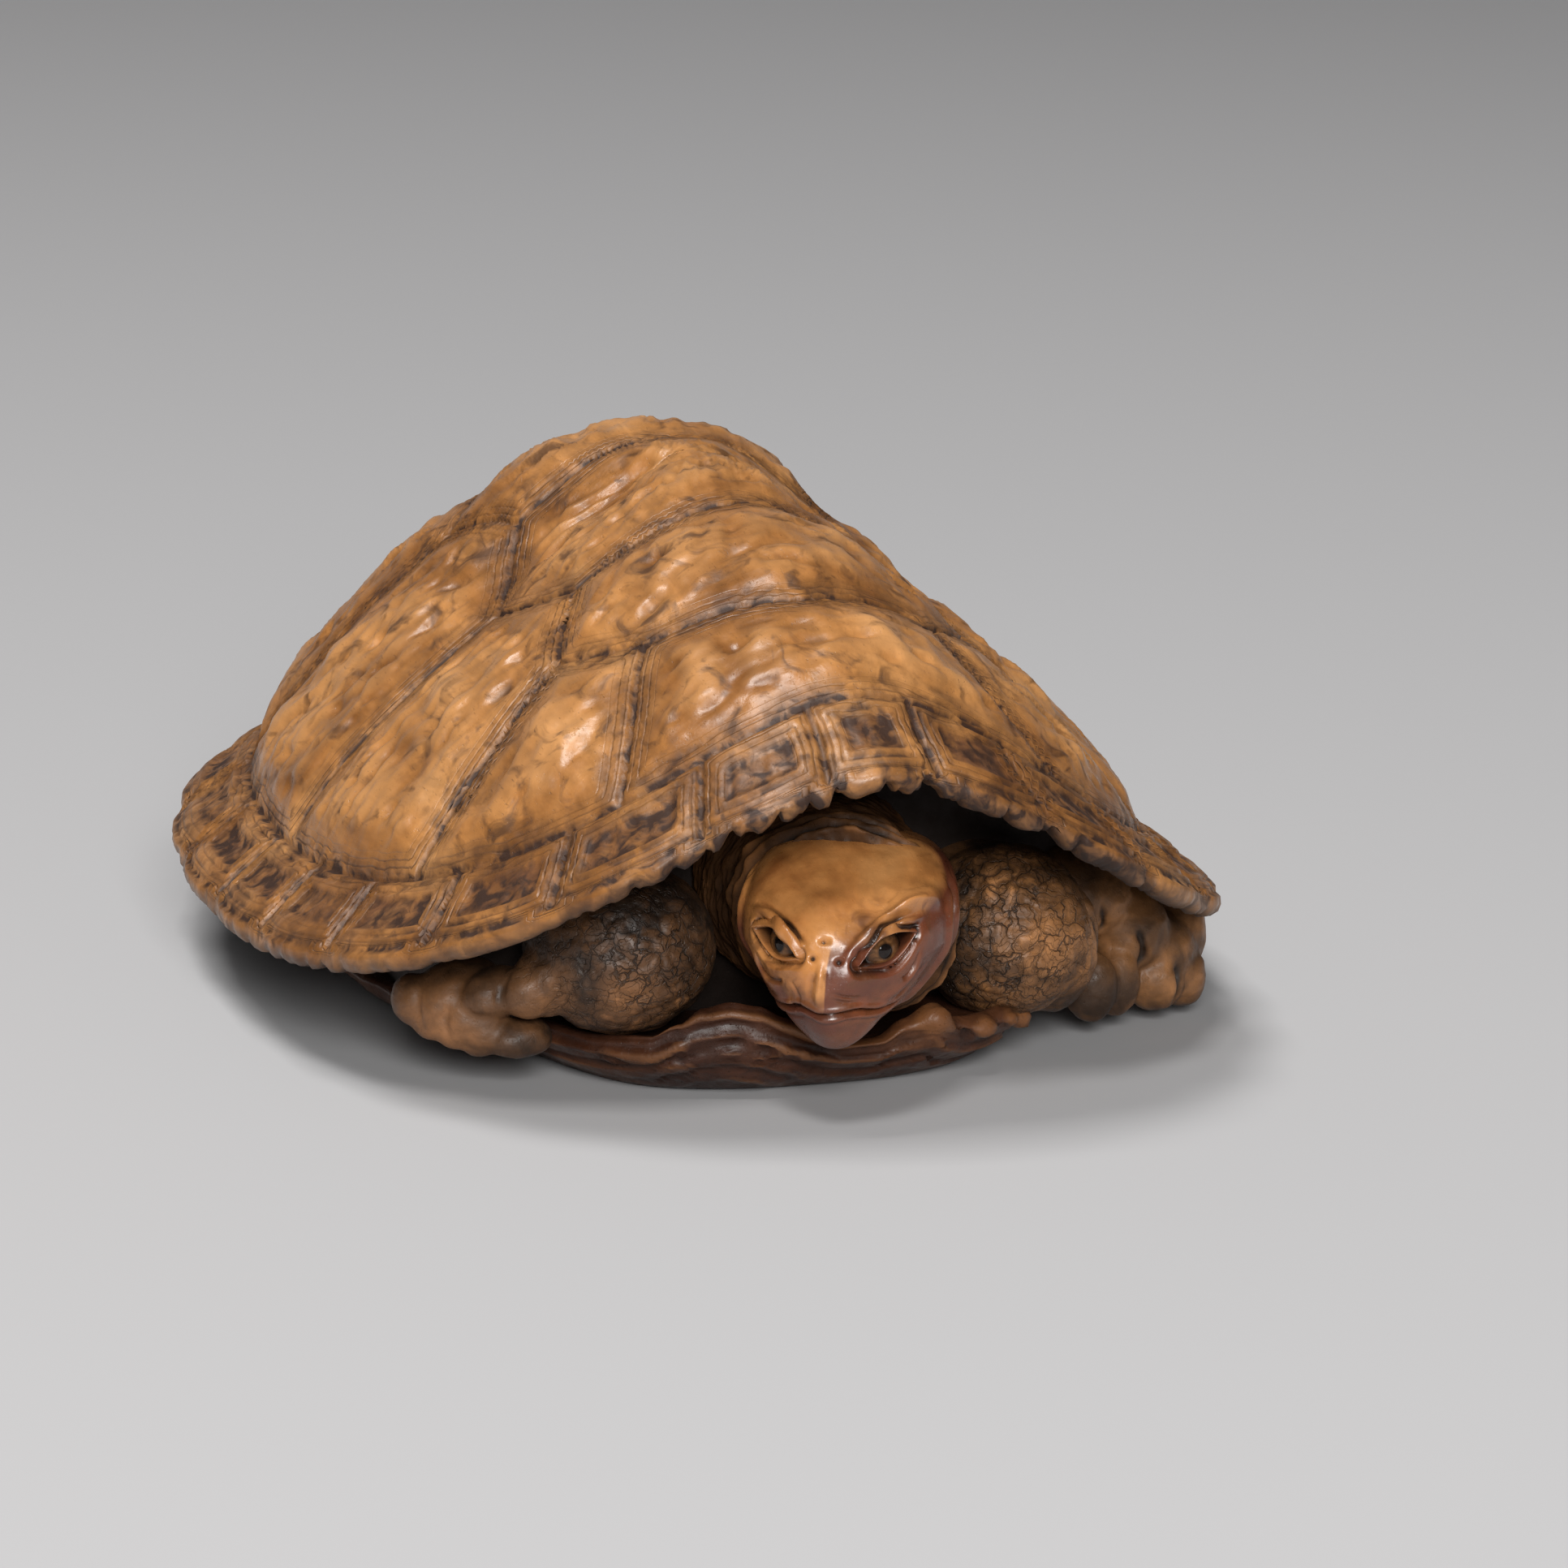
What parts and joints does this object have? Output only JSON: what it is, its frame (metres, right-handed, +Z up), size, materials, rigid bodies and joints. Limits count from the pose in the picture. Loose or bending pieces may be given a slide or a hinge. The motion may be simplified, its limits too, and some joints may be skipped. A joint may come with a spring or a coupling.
{
  "type": "tortoise figurine",
  "caption": "Small carved wooden tortoise ornament with a scute-patterned domed shell, turned head under an arched rim, scaly legs and inlaid eyes; rests on its belly plate.",
  "frame": {"origin": "middle of the whole figure in plan, on the surface it rests on", "axes": "-Y from the tail towards the head, +X towards the tortoise's own left, +Z up"},
  "size_m": [0.0462, 0.0578, 0.0254],
  "materials": {
    "shell_wood": "golden brown boxwood, darker in the seams, waxed to a soft gloss",
    "belly_wood": "reddish brown stained boxwood, satin",
    "head_wood": "golden brown crown shading to mahogany cheeks, soft gloss",
    "skin_wood": "dark stained boxwood, ochre on the worn high spots, satin",
    "iris_horn": "polished brown-grey horn bead",
    "pupil_horn": "polished black horn dot"
  },
  "bodies": {
    "root": {"carapace": "shell_wood", "plastron": "belly_wood", "head": "head_wood", "neck_skin": "skin_wood", "right_foreleg": "skin_wood", "left_foreleg": "skin_wood", "right_hindleg": "skin_wood", "left_hindleg": "skin_wood", "tail": "skin_wood", "right_iris": "iris_horn", "left_iris": "iris_horn", "right_pupil": "pupil_horn", "left_pupil": "pupil_horn"}
  },
  "joints": []
}
